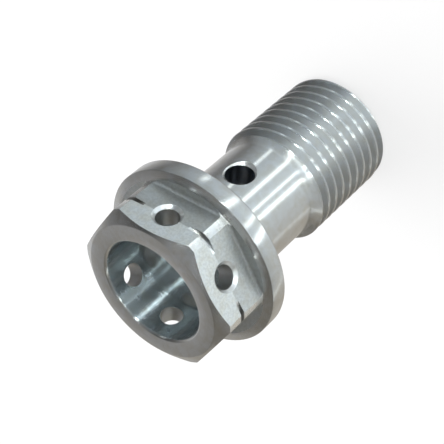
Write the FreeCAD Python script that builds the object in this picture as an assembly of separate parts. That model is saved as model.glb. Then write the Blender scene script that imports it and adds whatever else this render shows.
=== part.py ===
import FreeCAD, Part
import math
import os

os.makedirs("parts", exist_ok=True)

# All sizes in mm, heights in the head measured from the face or from the seat
# Head
across_flats = 12.0
corner_dia = 13.5
head_height = 6.15
face_dia = 11.6
face_bevel_height = 0.63
flat_floor_height = 1.95
flat_root_radius = 0.25
hub_height = 1.7

# Flange
flange_dia = 15.2
flange_rim_height = 1.55
rim_edge_break = 0.08
seat_edge_break = 0.15

# Round pocket in the head
pocket_dia = 8.6
pocket_depth = 3.6
pocket_mouth_dia = 8.96

# Lockwire holes, one through the middle of each flat
wire_hole_dia = 1.8
wire_hole_csk_dia = 2.3
wire_hole_from_face = 2.2

# Lockwire groove, turned into the six corners
groove_width = 0.46
groove_depth = 0.42
groove_from_face = 2.1

# Shank and its neck to the thread
shank_length = 18.0
shank_dia = 8.6
neck_from_seat = 7.95
neck_radius = 0.7

# Thread M10 x 1, its crest cylinder
thread_dia = 9.87
thread_end_chamfer = 0.55

# Oil passages
oil_bore_dia = 4.5
oil_bore_past_cross = 0.9
oil_bore_mouth_chamfer = 0.3
drill_point_angle = 118.0
cross_hole_dia = 2.3
cross_hole_csk_dia = 2.85
cross_hole_from_seat = 4.45
cross_hole_turn = -30.5

# Radii, and heights up the axis from the thread end
flat_r = across_flats / 2
corner_r = corner_dia / 2
face_r = face_dia / 2
rim_r = flange_dia / 2
pocket_r = pocket_dia / 2
mouth_r = pocket_mouth_dia / 2
shank_r = shank_dia / 2
thread_r = thread_dia / 2
bore_r = oil_bore_dia / 2
seat_z = shank_length
face_z = seat_z + head_height
floor_z = seat_z + flat_floor_height
hub_z = seat_z + hub_height
rim_z = seat_z + flange_rim_height
wire_z = face_z - wire_hole_from_face
groove_z = face_z - groove_from_face
cross_z = seat_z - cross_hole_from_seat
neck_z = seat_z - neck_from_seat
clear = 1.0

centre = FreeCAD.Vector(0, 0, 0)
up = FreeCAD.Vector(0, 0, 1)


def at(radius, height):
    return FreeCAD.Vector(radius, 0, height)


def lines(points):
    return [Part.makeLine(at(*a), at(*b)) for a, b in zip(points, points[1:])]


def turned(edges):
    return Part.Face(Part.Wire(edges)).revolve(centre, up, 360)


def side_at(turn):
    return FreeCAD.Vector(math.cos(math.radians(turn)), math.sin(math.radians(turn)), 0)


# Blank turned in one piece: thread, neck, shank, flange, hub and head
neck_sweep = math.acos(1 - (thread_r - shank_r) / neck_radius)


def neck_point(angle):
    radius = shank_r + neck_radius * (1 - math.cos(angle))
    return (radius, neck_z - neck_radius * math.sin(angle))


thread_top = neck_point(neck_sweep)
neck_mid = neck_point(neck_sweep / 2)
neck_arc = Part.Arc(at(*thread_top), at(*neck_mid), at(shank_r, neck_z)).toShape()
below_neck = lines([
    (0, 0),
    (thread_r - thread_end_chamfer, 0),
    (thread_r, thread_end_chamfer),
    thread_top,
])
above_neck = lines([
    (shank_r, neck_z),
    (shank_r, seat_z),
    (rim_r - seat_edge_break, seat_z),
    (rim_r, seat_z + seat_edge_break),
    (rim_r, rim_z - rim_edge_break),
    (rim_r - rim_edge_break, rim_z),
    (corner_r, hub_z),
    (corner_r, face_z - face_bevel_height),
    (face_r, face_z),
    (0, face_z),
    (0, 0),
])
bolt = turned(below_neck + [neck_arc] + above_neck)

# Six flats milled down to a floor above the flange, with a rounded root
root_in = at(flat_r, floor_z + flat_root_radius)
root_out = at(flat_r + flat_root_radius, floor_z)
root_fall = flat_root_radius * (1 - math.sqrt(0.5))
root_mid = at(flat_r + root_fall, floor_z + root_fall)
mill_edges = [
    Part.makeLine(at(flat_r, face_z + clear), root_in),
    Part.Arc(root_in, root_mid, root_out).toShape(),
    Part.makeLine(root_out, at(corner_r + clear, floor_z)),
    Part.makeLine(at(corner_r + clear, floor_z), at(corner_r + clear, face_z + clear)),
    Part.makeLine(at(corner_r + clear, face_z + clear), at(flat_r, face_z + clear)),
]
mill_face = Part.Face(Part.Wire(mill_edges))
mill_face.translate(FreeCAD.Vector(0, -corner_r, 0))
mill = mill_face.extrude(FreeCAD.Vector(0, corner_dia, 0))
for flat in range(6):
    cut = mill.copy()
    cut.rotate(centre, up, 30 + 60 * flat)
    bolt = bolt.cut(cut)

# Groove with a pointed root, which only reaches the corners
half_mouth = groove_width / 2 * (groove_depth + clear) / groove_depth
groove = turned(lines([
    (corner_r - groove_depth, groove_z),
    (corner_r + clear, groove_z - half_mouth),
    (corner_r + clear, groove_z + half_mouth),
    (corner_r - groove_depth, groove_z),
]))
bolt = bolt.cut(groove)

# Pocket, flat at the bottom and bevelled at the mouth
pocket = Part.makeCylinder(pocket_r, pocket_depth + clear, at(0, face_z - pocket_depth))
mouth_depth = mouth_r - pocket_r
mouth = Part.makeCone(pocket_r, mouth_r + clear, mouth_depth + clear, at(0, face_z - mouth_depth))
bolt = bolt.cut(pocket.fuse(mouth))


# A drill along a radius, with a 90 degree countersink where it enters
def radial_drill(turn, height, outer_r, inner_r, dia, csk_dia):
    side = side_at(turn)
    lift = FreeCAD.Vector(0, 0, height)
    drill = Part.makeCylinder(dia / 2, outer_r + clear - inner_r, side * inner_r + lift, side)
    csk_depth = (csk_dia - dia) / 2
    csk_foot = side * (outer_r - csk_depth) + lift
    sink = Part.makeCone(dia / 2, csk_dia / 2 + clear, csk_depth + clear, csk_foot, side)
    return drill.fuse(sink)


for flat in range(6):
    turn = 30 + 60 * flat
    wire_stop = pocket_r - clear
    hole = radial_drill(turn, wire_z, flat_r, wire_stop, wire_hole_dia, wire_hole_csk_dia)
    bolt = bolt.cut(hole)

for half in range(2):
    turn = cross_hole_turn + 180 * half
    hole = radial_drill(turn, cross_z, shank_r, 0, cross_hole_dia, cross_hole_csk_dia)
    bolt = bolt.cut(hole)

# Blind oil bore up from the thread end to just past the cross hole
bore_top = cross_z + oil_bore_past_cross
bore_tip = bore_top + bore_r / math.tan(math.radians(drill_point_angle / 2))
bore = turned(lines([
    (0, -clear),
    (bore_r + oil_bore_mouth_chamfer + clear, -clear),
    (bore_r, oil_bore_mouth_chamfer),
    (bore_r, bore_top),
    (0, bore_tip),
    (0, -clear),
]))
bolt = bolt.cut(bore)

bolt.exportStep("parts/banjo_bolt.step")
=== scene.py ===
import bpy
import bmesh
import math
from mathutils import Matrix, Quaternion, Vector


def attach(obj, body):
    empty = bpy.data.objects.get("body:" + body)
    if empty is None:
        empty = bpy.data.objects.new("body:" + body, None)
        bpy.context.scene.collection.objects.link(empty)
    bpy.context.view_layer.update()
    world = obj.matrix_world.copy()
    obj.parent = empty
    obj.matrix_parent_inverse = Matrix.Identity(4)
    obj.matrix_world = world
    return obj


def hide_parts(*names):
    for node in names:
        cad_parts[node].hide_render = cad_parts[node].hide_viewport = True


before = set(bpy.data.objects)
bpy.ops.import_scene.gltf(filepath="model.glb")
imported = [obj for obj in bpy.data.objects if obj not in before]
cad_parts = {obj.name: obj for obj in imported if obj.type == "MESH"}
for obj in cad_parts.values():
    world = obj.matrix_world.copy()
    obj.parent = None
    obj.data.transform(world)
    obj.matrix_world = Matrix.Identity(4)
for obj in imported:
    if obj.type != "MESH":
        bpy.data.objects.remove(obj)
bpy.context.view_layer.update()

mm = 0.001  # meshes are shaped in millimetres and shrunk to metres at the end
weld = 1e-5  # points this close, in millimetres, become one


# Shader maths: Wire wraps a socket, and Shader makes the nodes
class Wire:
    def __init__(self, shader, socket):
        self.shader = shader
        self.socket = socket

    def maths(self, operation, *others):
        return self.shader.maths(operation, self, *others)

    def __add__(self, other):
        return self.maths("ADD", other)

    def __sub__(self, other):
        return self.maths("SUBTRACT", other)

    def __rsub__(self, other):
        return self.shader.maths("SUBTRACT", other, self)

    def __mul__(self, other):
        return self.maths("MULTIPLY", other)

    def __truediv__(self, other):
        return self.maths("DIVIDE", other)

    def __rtruediv__(self, other):
        return self.shader.maths("DIVIDE", other, self)

    __radd__ = __add__
    __rmul__ = __mul__


class Node:
    def __init__(self, shader, node):
        self.shader = shader
        self.node = node

    def out(self, name):
        return Wire(self.shader, self.node.outputs[name])


class Shader:
    def __init__(self, tree):
        tree.nodes.clear()
        self.tree = tree

    def add(self, kind, settings, inputs):
        node = self.tree.nodes.new(kind)
        for name, value in settings.items():
            if name == "stops":
                ramp = node.color_ramp
                while len(ramp.elements) < len(value):
                    ramp.elements.new(0.5)
                for element, (place, colour) in zip(ramp.elements, value):
                    element.position = place
                    element.color = (*colour, 1)
            elif name == "interpolation":
                node.color_ramp.interpolation = value
            else:
                setattr(node, name, value)
        for name, value in inputs.items():
            if isinstance(value, Wire):
                self.tree.links.new(value.socket, node.inputs[name])
            else:
                node.inputs[name].default_value = value
        return Node(self, node)

    def maths(self, operation, *values):
        settings = {"operation": operation}
        return self.add("ShaderNodeMath", settings, dict(enumerate(values))).out(0)

    def vector(self, operation, *values):
        settings = {"operation": operation}
        return self.add("ShaderNodeVectorMath", settings, dict(enumerate(values))).out(0)

    def scaled(self, vector, scale):
        inputs = {0: vector, "Scale": scale}
        return self.add("ShaderNodeVectorMath", {"operation": "SCALE"}, inputs).out(0)

    def split(self, vector):
        node = self.add("ShaderNodeSeparateXYZ", {}, {0: vector})
        return [node.out(i) for i in range(3)]

    def join(self, *values):
        return self.add("ShaderNodeCombineXYZ", {}, dict(enumerate(values))).out(0)

    # a smooth step from one value to another between two edges
    def step(self, value, low, high, atLow=0.0, atHigh=1.0):
        settings = {"interpolation_type": "SMOOTHSTEP"}
        inputs = dict(enumerate((value, low, high, atLow, atHigh)))
        return self.add("ShaderNodeMapRange", settings, inputs).out(0)

    # a Mix node has its colours at inputs 6 and 7 and output 2
    def mixColour(self, share, first, second):
        inputs = {0: share, 6: first, 7: second}
        return self.add("ShaderNodeMix", {"data_type": "RGBA"}, inputs).out(2)

    def ramp(self, place, stops, interpolation="LINEAR"):
        settings = {"stops": stops, "interpolation": interpolation}
        return self.add("ShaderNodeValToRGB", settings, {0: place}).out(0)

    def noise(self, place, scale, detail, roughness):
        inputs = {"Vector": place, "Scale": scale, "Detail": detail, "Roughness": roughness}
        return self.add("ShaderNodeTexNoise", {}, inputs)

    def objectPlace(self):
        return self.add("ShaderNodeTexCoord", {}, {}).out("Object")

    def output(self, surface, kind="ShaderNodeOutputMaterial"):
        self.add(kind, {}, {"Surface": surface})


# Bare metal. Turning leaves fine rings, which depend on radius and height, and milling leaves an even
# grain. A finish with a bend catches the light like the cylinder that it lies on.
metalLook = {
    "colour": (0.70, 0.71, 0.72),
    "warmColour": (0.66, 0.65, 0.62),
    # each noise: patches per mm, detail and roughness
    "cloudNoise": (1.3, 3.0, 0.6),
    "grainNoise": (5.0, 2.0, 0.6),
    "ringNoise": (9.0, 2.0, 0.7),
    "cloudRange": (0.3, 0.7),
    "speckleRange": (0.38, 0.62),
    "brushTurn": 0.25,
    "edgeSoftness": 0.05,
    "edgeSamples": 6,
}
plainFinish = {
    "brushed": 0.0,
    "bend": 0.0,
    "rings": 0.0,
    "grain": 0.06,
    "cloud": 0.10,
    "speckle": 0.0,
    "metallic": 1.0,
    "paintedLight": (1.0, 1.0, 1.0),
}
# Each finish's paintedLight factor scales its colour as painted light and shade: below 1 it is
# painted shade, darker in the pocket, the holes, the groove and on the thread; above 1 it is painted
# highlight, lighter on the flats, corners, countersinks and neck.
finishLooks = {
    "turned": {"roughness": 0.20, "brushed": 0.85, "rings": 0.10, "grain": 0.02, "cloud": 0.04},
    "crested": {"roughness": 0.22, "brushed": 0.80, "rings": 0.10, "grain": 0.02, "cloud": 0.04,
                "paintedLight": (0.85, 0.86, 0.87)},
    "necked": {"roughness": 0.24, "brushed": 0.85, "bend": 1.2, "rings": 0.20, "grain": 0.02,
               "cloud": 0.04, "paintedLight": (1.1, 1.1, 1.1)},
    "bored": {"roughness": 0.27, "brushed": 1.0, "rings": 0.02, "grain": 0.0, "cloud": 0.02,
              "metallic": 0.96, "paintedLight": (0.64, 0.70, 0.73)},
    "floored": {"roughness": 0.23, "brushed": 0.7, "grain": 0.0, "cloud": 0.02,
                "metallic": 0.96, "paintedLight": (0.72, 0.78, 0.80)},
    "milled": {"roughness": 0.35, "grain": 0.16, "speckle": 0.12, "metallic": 0.9,
               "paintedLight": (1.34, 1.38, 1.38)},
    "notched": {"roughness": 0.35, "paintedLight": (0.60, 0.60, 0.60)},
    "cornered": {"roughness": 0.28, "brushed": 0.5, "speckle": 0.06, "paintedLight": (1.40, 1.40, 1.40)},
    "drilled": {"roughness": 0.42, "paintedLight": (0.72, 0.72, 0.72)},
    "sunk": {"roughness": 0.38, "paintedLight": (1.25, 1.25, 1.25)},
    "crossed": {"roughness": 0.30, "paintedLight": (0.38, 0.42, 0.50)},
    "threaded": {"roughness": 0.46, "brushed": 0.55, "bend": 3.0, "rings": 0.20, "grain": 0.08,
                 "cloud": 0.08, "paintedLight": (0.84, 0.85, 0.86)},
}
# Each flat is its own cut, but its tones here are painted light and shade, listed from the flat that
# faces -150 degrees on: the whole flat, lighter or darker as it faces the light; then what is behind
# the groove, darker; then the foot that runs out into the floor, darkened as painted shade beside the
# flange.
flatTonesAndPaintedLight = {
    "whole": (0.85, 1.04, 0.90, 0.85, 0.80, 0.90),
    "rear": (0.72, 0.78, 0.66, 0.72, 0.70, 0.74),
    "foot": (0.80, 0.55, 1.0, 0.90, 0.90, 0.80),
    "footRise": 0.20,
    "blend": 0.05,
}


def tiltOf(shader, noise):
    return shader.vector("SUBTRACT", noise.out("Color"), (0.5, 0.5, 0.5))


def bendNormal(shader, look, x, y, z, grain):
    radius = (x * x + y * y).maths("SQRT")
    bent = shader.add("ShaderNodeBevel", {"samples": metalLook["edgeSamples"]},
                      {"Radius": metalLook["edgeSoftness"] * mm}).out(0)
    bent = shader.vector("ADD", bent, shader.scaled(tiltOf(shader, grain), look["grain"]))
    if look["bend"]:
        outward = shader.join(x / radius, y / radius, 0.0)
        bent = shader.vector("ADD", bent, shader.scaled(outward, look["bend"]))
    if look["rings"]:
        rings = shader.noise(shader.join(radius, z, 0.0), *metalLook["ringNoise"])
        out, up = shader.split(tiltOf(shader, rings))[:2]
        ringTilt = shader.join(x / radius * out, y / radius * out, up)
        bent = shader.vector("ADD", bent, shader.scaled(ringTilt, look["rings"]))
    return shader.vector("NORMALIZE", bent)


# Paints light and shade onto each flat, from the table of flat tones above
def paintFlatTonesAndLight(shader, colour, x, y, z):
    turn = y.maths("ARCTAN2", x) / math.tau + 0.5
    band = bolt["grooveHeight"]
    foot = bolt["floorHeight"] + flatTonesAndPaintedLight["footRise"]
    blend = flatTonesAndPaintedLight["blend"]
    shares = {
        "whole": 1.0,
        "rear": shader.step(z, band - blend, band + blend, 1.0, 0.0),
        "foot": shader.step(z, foot - blend, foot + blend, 1.0, 0.0),
    }
    for name, share in shares.items():
        stops = [(i / bolt["flats"], (value,) * 3) for i, value in enumerate(flatTonesAndPaintedLight[name])]
        tones = shader.ramp(turn, stops, "CONSTANT")
        colour = shader.mixColour(share, colour, shader.vector("MULTIPLY", colour, tones))
    return colour


def makeMetal(kind):
    look = {**plainFinish, **finishLooks[kind]}
    material = bpy.data.materials.new(kind + "Metal")
    material.use_nodes = True
    shader = Shader(material.node_tree)
    place = shader.scaled(shader.objectPlace(), 1 / mm)
    x, y, z = shader.split(place)
    cloud = shader.noise(place, *metalLook["cloudNoise"])
    grain = shader.noise(place, *metalLook["grainNoise"])
    tone = shader.step(cloud.out("Fac"), *metalLook["cloudRange"])
    # the finish's factor paints its shade or highlight into both colours
    warm, cool = [(*(a * b for a, b in zip(look["paintedLight"], metalLook[name])), 1)
                  for name in ("warmColour", "colour")]
    colour = shader.mixColour(tone, warm, cool)
    if look["speckle"]:
        dots = shader.step(grain.out("Fac"), *metalLook["speckleRange"], look["speckle"], 0.0)
        colour = shader.mixColour(dots, colour, (0, 0, 0, 1))
    # the flats get their painted light and shade
    if kind == "milled":
        colour = paintFlatTonesAndLight(shader, colour, x, y, z)
    surface = shader.add("ShaderNodeBsdfPrincipled", {}, {
        "Base Color": colour,
        "Metallic": look["metallic"],
        "Roughness": look["roughness"] + (cloud.out("Fac") - 0.5) * look["cloud"],
        "Normal": bendNormal(shader, look, x, y, z, grain),
        "Anisotropic": look["brushed"],
        "Anisotropic Rotation": metalLook["brushTurn"],
    })
    shader.output(surface.out(0))
    return material


# The bolt, in millimetres up from its thread end
bolt = {
    "flats": 6,
    "acrossFlats": 12.0,
    "cornerRadius": 6.75,
    "faceHeight": 24.15,
    "faceRadius": 5.8,
    "bevelHeight": 0.63,
    "floorHeight": 19.68,
    "rootRadius": 0.25,
    "hubHeight": 19.7,
    "rimRadius": 7.6,
    "rimHeight": 19.55,
    "rimChamfer": 0.15,
    "seatHeight": 18.0,
    "pocketRadius": 4.3,
    "pocketDepth": 3.6,
    "mouthRadius": 4.48,
    "grooveHeight": 22.05,
    "grooveWidth": 0.37,
    "grooveFloor": 0.27,
    "grooveDepth": 0.42,
    "shankRadius": 4.3,
    "neckHeight": 10.05,
    "neckRadius": 0.7,
    "threadRadius": 4.935,
    "threadChamfer": 0.55,
    "boreRadius": 2.25,
    "boreChamfer": 0.3,
    "boreHeight": 14.45,
    "boreTip": 15.8,
    "edge": 0.045,  # how far the bevel on an edge reaches
    "edgeSegments": 2,
    "rootSegments": 6,
    "neckSteps": 10,
    "steps": 288,
    "sharpAngle": 24,
}
boltFinishes = ("turned", "necked", "bored", "milled", "drilled", "sunk", "crossed", "threaded",
                "notched", "cornered", "floored", "crested")
finishes = {kind: makeMetal(kind) for kind in finishLooks}
print("made the metal finishes")


def asObject(mesh, name):
    data = bpy.data.meshes.new(name)
    mesh.to_mesh(data)
    mesh.free()
    piece = bpy.data.objects.new(name, data)
    bpy.context.scene.collection.objects.link(piece)
    return piece


def asPiece(mesh, name, *kinds):
    piece = asObject(mesh, name)
    for kind in kinds:
        piece.data.materials.append(finishes[kind])
    return piece


def chain(mesh, points):
    verts = [mesh.verts.new((x, 0, z)) for x, z in points]
    for pair in zip(verts, verts[1:]):
        mesh.edges.new(pair)
    return verts


def roundOff(mesh, verts, reach, segments):
    bmesh.ops.bevel(mesh, geom=verts, offset=reach, segments=segments, profile=0.5,
                    affect="VERTICES", material=-1)


def closeUp(mesh):
    bmesh.ops.remove_doubles(mesh, verts=mesh.verts, dist=weld)
    bmesh.ops.recalc_face_normals(mesh, faces=mesh.faces)


def spinRound(mesh, axis, steps):
    bmesh.ops.spin(mesh, geom=mesh.verts[:] + mesh.edges[:], cent=(0, 0, 0), axis=axis,
                   dvec=(0, 0, 0), angle=math.tau, steps=steps, use_merge=True)
    closeUp(mesh)


def turnAround(mesh, degrees):
    bmesh.ops.rotate(mesh, cent=(0, 0, 0), matrix=Matrix.Rotation(math.radians(degrees), 3, "Z"),
                     verts=mesh.verts)


near = 0.01  # a face this close to a surface lies on it
bevelNear = 0.03  # or this close, where the edges round it are bevelled


# How the blank is finished at a radius and a height
def finishAt(across, height, neckStart):
    b = bolt
    pocketFloor = b["faceHeight"] - b["pocketDepth"]
    grooveBottom = b["cornerRadius"] - b["grooveDepth"]
    onCorner = across > b["cornerRadius"] - bevelNear
    if neckStart < height < b["neckHeight"] and across > b["shankRadius"]:
        return "necked"
    if abs(height - pocketFloor) < near and across < b["pocketRadius"]:
        return "floored"
    if height > pocketFloor and across < b["pocketRadius"] + b["edge"]:
        return "bored"
    # In the groove the floor takes the cornered finish, painted lighter as highlight, and the walls
    # the notched finish, painted darker as shade
    inGroove = abs(height - b["grooveHeight"]) < b["grooveWidth"] / 2 - near
    if inGroove and b["faceRadius"] < across and not onCorner:
        return "cornered" if across < grooveBottom + near else "notched"
    if b["hubHeight"] < height < b["faceHeight"] - b["bevelHeight"] and onCorner:
        return "cornered"
    # thread crests take the crested finish, a copy of the turned one painted darker as shade
    if height < neckStart and across > b["threadRadius"] - near:
        return "crested"
    return "turned"


# Turned blank, spun from its outline
def turnBlank():
    b = bolt
    neckStart = b["neckHeight"] - math.sqrt(
        b["neckRadius"] ** 2 - (b["neckRadius"] - b["threadRadius"] + b["shankRadius"]) ** 2)
    pocketFloor = b["faceHeight"] - b["pocketDepth"]
    grooveBottom = b["cornerRadius"] - b["grooveDepth"]
    halfGroove = b["grooveWidth"] / 2
    crisp, soft = False, True  # what becomes of each corner of the outline
    outline = [
        (0, pocketFloor, crisp),
        (b["pocketRadius"], pocketFloor, soft),
        (b["pocketRadius"], b["faceHeight"] - b["mouthRadius"] + b["pocketRadius"], soft),
        (b["mouthRadius"], b["faceHeight"], soft),
        (b["faceRadius"], b["faceHeight"], soft),
        (b["cornerRadius"], b["faceHeight"] - b["bevelHeight"], soft),
        (b["cornerRadius"], b["grooveHeight"] + halfGroove, soft),
        (grooveBottom, b["grooveHeight"] + b["grooveFloor"] / 2, crisp),
        (grooveBottom, b["grooveHeight"] - b["grooveFloor"] / 2, crisp),
        (b["cornerRadius"], b["grooveHeight"] - halfGroove, soft),
        (b["cornerRadius"], b["hubHeight"], crisp),
        (b["rimRadius"], b["rimHeight"], soft),
        (b["rimRadius"], b["seatHeight"] + b["rimChamfer"], soft),
        (b["rimRadius"] - b["rimChamfer"], b["seatHeight"], soft),
        (b["shankRadius"], b["seatHeight"], crisp),
    ]
    for i in range(b["neckSteps"] + 1):
        height = b["neckHeight"] + (neckStart - b["neckHeight"]) * i / b["neckSteps"]
        hollow = math.sqrt(b["neckRadius"] ** 2 - (b["neckHeight"] - height) ** 2)
        outline.append((b["shankRadius"] + b["neckRadius"] - hollow, height, crisp))
    outline += [
        (b["threadRadius"], b["threadChamfer"], crisp),
        (b["threadRadius"] - b["threadChamfer"], 0, crisp),
        (b["boreRadius"] + b["boreChamfer"], 0, crisp),
        (b["boreRadius"], b["boreChamfer"], crisp),
        (b["boreRadius"], b["boreHeight"], crisp),
        (0, b["boreTip"], crisp),
    ]
    mesh = bmesh.new()
    verts = chain(mesh, [corner[:2] for corner in outline])
    softened = [vert for vert, corner in zip(verts, outline) if corner[2]]
    roundOff(mesh, softened, b["edge"], b["edgeSegments"])
    spinRound(mesh, (0, 0, 1), b["steps"])
    for face in mesh.faces:
        middle = face.calc_center_median()
        kind = finishAt(math.hypot(middle.x, middle.y), middle.z, neckStart)
        face.material_index = boltFinishes.index(kind)
    return asPiece(mesh, "banjoBolt", *boltFinishes)


# The flats in one ring of cutter, spun in as many steps so that its inside is the hexagon
def flatCutter(above=1, beyond=3):
    b = bolt
    flat = b["acrossFlats"] / 2
    top = b["faceHeight"] + above
    mesh = bmesh.new()
    verts = chain(mesh, [(flat, top), (flat, b["floorHeight"]), (flat + beyond, b["floorHeight"]),
                         (flat + beyond, top)])
    roundOff(mesh, [verts[1]], b["rootRadius"], b["rootSegments"])
    mesh.edges.new((verts[3], verts[0]))
    bmesh.ops.scale(mesh, vec=(1 / math.cos(math.pi / b["flats"]), 1, 1), verts=mesh.verts)
    spinRound(mesh, (0, 0, 1), b["flats"])
    return asPiece(mesh, "flatCutter", "milled")


holes = {
    "wire": {"radius": 0.9, "sink": 1.15, "height": 21.95},
    "cross": {"radius": 1.15, "sink": 1.425, "height": 13.55},
    "crossTurn": -30.5,
    "intoPocket": 1,  # how far the wire drill runs on into the pocket
    "steps": 72,
}


# A drill along +X with a 90 degree countersink whose rim lies on the skin, turned to each direction
def drillCutter(turns, inner, skin, hole, name, kind, beyond=0.6):
    radius, sink = hole["radius"], hole["sink"]
    sinkStart = skin - (sink - radius)
    outer = skin + beyond
    mesh = bmesh.new()
    for turn in turns:
        one = bmesh.new()
        chain(one, [(inner, 0), (inner, radius), (sinkStart, radius), (outer, sink + outer - skin),
                    (outer, 0)])
        spinRound(one, (1, 0, 0), holes["steps"])
        for face in one.faces:
            face.material_index = int(face.calc_center_median().x > sinkStart)
        turnAround(one, turn)
        bmesh.ops.translate(one, vec=(0, 0, hole["height"]), verts=one.verts)
        part = bpy.data.meshes.new("part")
        one.to_mesh(part)
        one.free()
        mesh.from_mesh(part)
        bpy.data.meshes.remove(part)
    return asPiece(mesh, name, kind, "sunk")


# Right-hand thread groove, one turn per pitch. Each crest is eased off on its side towards the head.
thread = {
    "pitch": 1.0,
    "rootRadius": 4.45,
    "rootWidth": 0.22,
    "rootRound": 0.06,
    "flareRadius": 4.88,
    "outerRadius": 5.0,
    "flareWidth": 0.57,
    "flankAngle": 30,
    "crestHeight": 8.51,
    "crestTurn": -63.76,
    "turnsBelowCrest": 10.5,
    "turns": 13,
    "stepsPerTurn": 120,
    "roundSegments": 2,
}


def threadCutter():
    t = thread
    halfRoot = t["rootWidth"] / 2
    slope = math.tan(math.radians(t["flankAngle"]))
    halfFlare = halfRoot + (t["flareRadius"] - t["rootRadius"]) * slope
    halfOuter = halfRoot + (t["outerRadius"] - t["rootRadius"]) * slope
    start = t["crestHeight"] - t["turnsBelowCrest"] * t["pitch"]
    mesh = bmesh.new()
    verts = chain(mesh, [
        (t["outerRadius"], start - t["flareWidth"]),
        (t["flareRadius"], start - halfFlare),
        (t["rootRadius"], start - halfRoot),
        (t["rootRadius"], start + halfRoot),
        (t["outerRadius"], start + halfOuter),
    ])
    mesh.edges.new((verts[4], verts[0]))
    roundOff(mesh, [verts[2], verts[3]], t["rootRound"], t["roundSegments"])
    end = bmesh.ops.contextual_create(mesh, geom=mesh.edges[:])["faces"]
    bmesh.ops.spin(mesh, geom=end, cent=(0, 0, 0), axis=(0, 0, 1),
                   dvec=(0, 0, t["pitch"] / t["stepsPerTurn"]), angle=math.tau * t["turns"],
                   steps=t["stepsPerTurn"] * t["turns"], use_merge=False)
    turnAround(mesh, t["crestTurn"])
    closeUp(mesh)
    for face in mesh.faces:
        middle = face.calc_center_median()
        face.material_index = int(math.hypot(middle.x, middle.y) > t["flareRadius"] + near)
    return asPiece(mesh, "threadCutter", "threaded", "crested")


def applyModifiers(piece):
    bpy.context.view_layer.update()
    shaped = piece.evaluated_get(bpy.context.evaluated_depsgraph_get())
    data = bpy.data.meshes.new_from_object(shaped)
    spent = piece.data
    piece.modifiers.clear()
    piece.data = data
    bpy.data.meshes.remove(spent)


def carve(piece, cutter):
    cut = piece.modifiers.new("cut", "BOOLEAN")
    cut.operation = "DIFFERENCE"
    cut.solver = "EXACT"
    cut.material_mode = "TRANSFER"
    cut.object = cutter
    applyModifiers(piece)
    spent = cutter.data
    bpy.data.objects.remove(cutter)
    bpy.data.meshes.remove(spent)


# The mill leaves a crisp edge, however shallow
def sharpenFlats(data):
    mesh = bmesh.new()
    mesh.from_mesh(data)
    for edge in mesh.edges:
        kinds = {data.materials[face.material_index].name for face in edge.link_faces}
        if len(kinds) > 1 and finishes["milled"].name in kinds:
            edge.smooth = False
    mesh.to_mesh(data)
    mesh.free()


banjoBolt = turnBlank()
print("turned the blank", len(banjoBolt.data.polygons))
carve(banjoBolt, flatCutter())
print("milled the flats", len(banjoBolt.data.polygons))
flatTurn = 360 / bolt["flats"]
wireTurns = [flatTurn * (i + 0.5) for i in range(bolt["flats"])]
carve(banjoBolt, drillCutter(wireTurns, bolt["pocketRadius"] - holes["intoPocket"],
                             bolt["acrossFlats"] / 2, holes["wire"], "wireDrill", "drilled"))
for side in (0, 180):
    carve(banjoBolt, drillCutter([holes["crossTurn"] + side], 0, bolt["shankRadius"],
                                 holes["cross"], "crossDrill", "crossed"))
print("drilled the holes", len(banjoBolt.data.polygons))
carve(banjoBolt, threadCutter())
print("cut the thread", len(banjoBolt.data.polygons))
banjoBolt.data.transform(Matrix.Scale(mm, 4))
banjoBolt.data.shade_smooth()
banjoBolt.data.set_sharp_from_angle(angle=math.radians(bolt["sharpAngle"]))
sharpenFlats(banjoBolt.data)
weigh = banjoBolt.modifiers.new("weigh", "WEIGHTED_NORMAL")
weigh.keep_sharp = True
applyModifiers(banjoBolt)
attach(banjoBolt, "root")
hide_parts("banjo_bolt")
print("finished the bolt", len(banjoBolt.data.polygons))


# Studio: a pale floor, and a paper tent far round the bolt that only the metal mirrors
studio = {
    "floorSize": 0.6,
    "floorTone": (0.86, 0.86, 0.86),
    "tentSize": 0.5,
    "segments": 64,
    "worldStrength": 0.9,
    "whiteShare": 0.7,
}


def seesBackground(shader):
    path = shader.add("ShaderNodeLightPath", {}, {})
    seen = path.out("Is Camera Ray").maths("MAXIMUM", path.out("Is Glossy Ray"))
    return seen.maths("MAXIMUM", path.out("Is Transmission Ray"))


def glowing(shader, colour):
    inputs = {"Color": colour, "Strength": 1.0}
    return shader.add("ShaderNodeEmission", {}, inputs).out(0)


def asStage(mesh, name):
    piece = asObject(mesh, name)
    material = bpy.data.materials.new(name)
    material.use_nodes = True
    piece.data.materials.append(material)
    return piece, Shader(material.node_tree)


def makeFloor():
    mesh = bmesh.new()
    bmesh.ops.create_circle(mesh, cap_ends=True, segments=studio["segments"],
                            radius=studio["floorSize"])
    floor, shader = asStage(mesh, "paleFloor")
    matt = shader.add("ShaderNodeBsdfDiffuse", {}, {"Color": (*studio["floorTone"], 1)}).out(0)
    share = seesBackground(shader) * studio["whiteShare"]
    inputs = {0: share, 1: matt, 2: glowing(shader, (1, 1, 1, 1))}
    shader.output(shader.add("ShaderNodeMixShader", {}, inputs).out(0))
    floor.visible_glossy = False  # the tent's lower half takes its place in the metal


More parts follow.
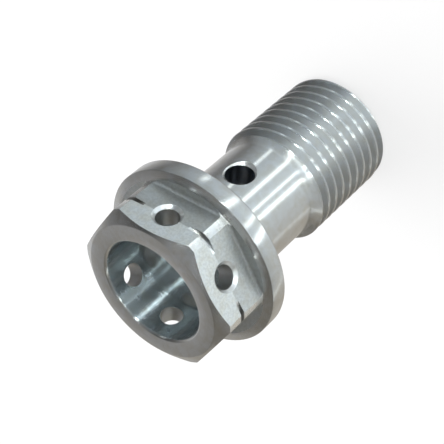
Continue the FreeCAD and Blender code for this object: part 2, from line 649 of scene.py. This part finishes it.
# Paper tones by compass direction, in bands from low to high, and upright strip lights behind them.
# Height in the tent is given as rise, which is -1 straight down and 1 straight up.
tent = {
    "cool": (0.85, 0.95, 1.0),
    "plain": (1.0, 1.0, 1.0),
    "warm": (1.0, 0.95, 0.85),
    # the paper that hangs in each direction, and how bright it is
    "around": [
        (-180, "warm", 0.5),
        (-75, "cool", 1.0),
        (0, "cool", 0.6),
        (45, "plain", 0.2),
        (105, "plain", 0.9),
        (140, "warm", 0.5),
        (180, "warm", 0.5),
    ],
    # each band: the rise over which it takes over from what is below it, and its share of brightness
    "bands": [
        ((-0.92, -0.70), 1.0),
        ((-0.48, -0.30), 0.75),
        ((0.30, 0.50), 0.4),
        ((0.67, 0.82), 0.3),
    ],
    "nadir": (0.5, 0.5, 0.5),
    "zenith": (0.3, 0.3, 0.3),
    "zenithRise": (0.85, 1.0),
    # each strip: direction, half width, brightness low and high up, and the rise at its foot and top
    "strips": [
        (-72, 42.0, 1.2, 1.2, 0.08, 0.30),
        (-96, 6.0, 1.6, 1.6, -0.9, -0.2),
        (-94, 2.2, 0.0, 13.0, -0.1, 0.75),
        (-77, 4.0, 1.2, 1.2, -0.9, -0.2),
        (-78, 1.4, 0.0, 10.0, -0.1, 0.75),
        (-48, 6.0, 1.3, 1.3, -0.72, 0.0),
        (-43, 2.4, 0.0, 28.0, -0.1, 0.75),
        (-6, 5.0, 1.6, 1.6, -0.66, -0.50),
        (-162, 4.5, 0.4, 1.5, -0.9, 0.7),
        (26, 3.0, 0.3, 1.2, 0.1, 0.7),
    ],
    "stripCore": 0.35,  # the share of a strip's half width that is at full brightness
    "stripBrightens": (0.2, 0.45),
    "stripFoot": 0.02,
    "stripHead": 0.06,
    "stripTint": (0.92, 1.0, 1.0),
}


def makeTent():
    mesh = bmesh.new()
    around = studio["segments"]
    bmesh.ops.create_uvsphere(mesh, u_segments=around, v_segments=around // 2,
                              radius=studio["tentSize"])
    piece, shader = asStage(mesh, "lightTent")
    x, y, rise = shader.split(shader.vector("NORMALIZE", shader.objectPlace()))
    compass = y.maths("ARCTAN2", x) * math.degrees(1)
    turn = (compass + 180) / 360
    paper = (*tent["nadir"], 1)
    for reach, share in tent["bands"]:
        stops = [((angle + 180) / 360, tuple(share * tone * part for part in tent[kind]))
                 for angle, kind, tone in tent["around"]]
        paper = shader.mixColour(shader.step(rise, *reach), paper, shader.ramp(turn, stops))
    paper = shader.mixColour(shader.step(rise, *tent["zenithRise"]), paper, (*tent["zenith"], 1))
    glow = 0.0
    foot, head = tent["stripFoot"], tent["stripHead"]
    for direction, width, dim, bright, low, high in tent["strips"]:
        off = (compass - direction).maths("ABSOLUTE")
        across = shader.step(off, width * tent["stripCore"], width, 1.0, 0.0)
        bottom = shader.step(rise, low - foot, low + foot)
        top = shader.step(rise, high - head, high + head, 1.0, 0.0)
        strength = shader.step(rise, *tent["stripBrightens"], dim, bright)
        glow = across * strength * (bottom * top) + glow
    both = shader.vector("ADD", paper, shader.scaled(tent["stripTint"], glow))
    shader.output(glowing(shader, both))
    piece.visible_camera = False
    piece.visible_diffuse = False
    piece.visible_shadow = False
    piece.visible_transmission = False


def makeWorld():
    world = bpy.data.worlds.new("studio")
    bpy.context.scene.world = world
    world.use_nodes = True
    shader = Shader(world.node_tree)
    strength = studio["worldStrength"] + seesBackground(shader) * (1 - studio["worldStrength"])
    inputs = {"Color": (1, 1, 1, 1), "Strength": strength}
    sky = shader.add("ShaderNodeBackground", {}, inputs).out(0)
    shader.output(sky, "ShaderNodeOutputWorld")


keyLamp = {"spot": (0.02, 0.10, 0.14), "aim": (0, 0, 0.012), "size": 0.16, "power": 0.2}


def makeLamp():
    light = bpy.data.lights.new("key", "AREA")
    light.shape = "DISK"
    light.size = keyLamp["size"]
    light.energy = keyLamp["power"]
    spot, aim = Vector(keyLamp["spot"]), Vector(keyLamp["aim"])
    lamp = bpy.data.objects.new("key", light)
    lamp.location = spot
    lamp.rotation_mode = "QUATERNION"
    lamp.rotation_quaternion = (aim - spot).to_track_quat("-Z", "Y")
    lamp.visible_glossy = False
    bpy.context.scene.collection.objects.link(lamp)


makeFloor()
makeTent()
makeWorld()
makeLamp()
print("set up the studio")


# The photograph's view: the camera's place and aim in millimetres
view = {
    "spot": (33.989, -67.959, 69.923),
    "aim": (0.398, 0.196, 15.226),
    "roll": 131.34,
    "lens": 99.23,
    "sensor": 36,
    "near": 0.005,
    "far": 5,
}


def makeCamera():
    spot = Vector(view["spot"]) * mm
    aim = Vector(view["aim"]) * mm
    data = bpy.data.cameras.new("camera")
    data.lens = view["lens"]
    data.sensor_fit = "HORIZONTAL"
    data.sensor_width = view["sensor"]
    data.clip_start = view["near"]
    data.clip_end = view["far"]
    roll = Quaternion((0, 0, 1), -math.radians(view["roll"]))
    camera = bpy.data.objects.new("camera", data)
    camera.location = spot
    camera.rotation_mode = "QUATERNION"
    camera.rotation_quaternion = (aim - spot).to_track_quat("-Z", "Y") @ roll
    bpy.context.scene.collection.objects.link(camera)
    bpy.context.scene.camera = camera


makeCamera()
bpy.context.scene.view_settings.view_transform = "Standard"
print("placed the camera")
